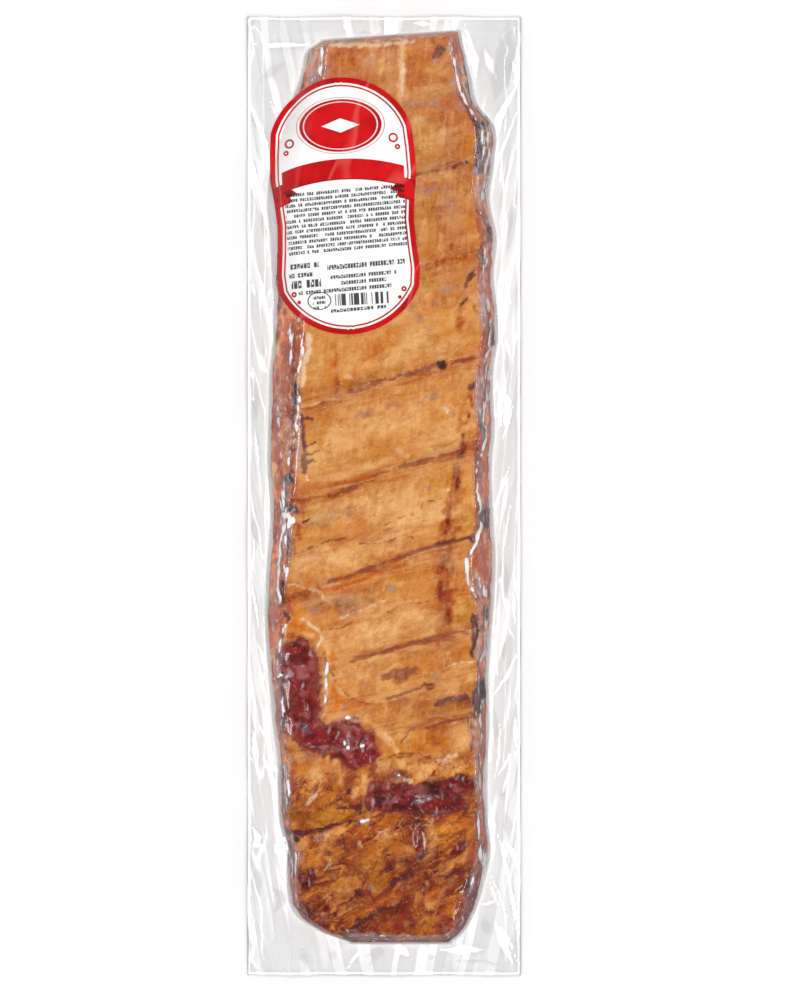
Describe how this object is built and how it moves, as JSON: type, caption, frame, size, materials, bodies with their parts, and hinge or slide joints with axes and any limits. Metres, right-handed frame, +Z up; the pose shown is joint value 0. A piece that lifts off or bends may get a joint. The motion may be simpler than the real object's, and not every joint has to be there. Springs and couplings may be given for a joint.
{
  "type": "pork ribs pack",
  "caption": "Vacuum-packed slab of smoked pork ribs in a clear flat bag, bone side up, with an arched label near one end.",
  "frame": {"origin": "middle of the bag's outline, on the flat underside that the pack lies on", "axes": "+X across the pack, +Y along it towards the label's end, +Z up out of the shown bone side"},
  "size_m": [0.13, 0.456, 0.0308],
  "materials": {
    "smoked_ribs": "clear clinging film over orange-brown smoked meat and fat",
    "clear_film": "clear crinkled food film, glossy",
    "printed_label": "white coated paper printed in red and black"
  },
  "bodies": {
    "root": {"bag": "smoked_ribs", "label": "printed_label"}
  },
  "joints": []
}
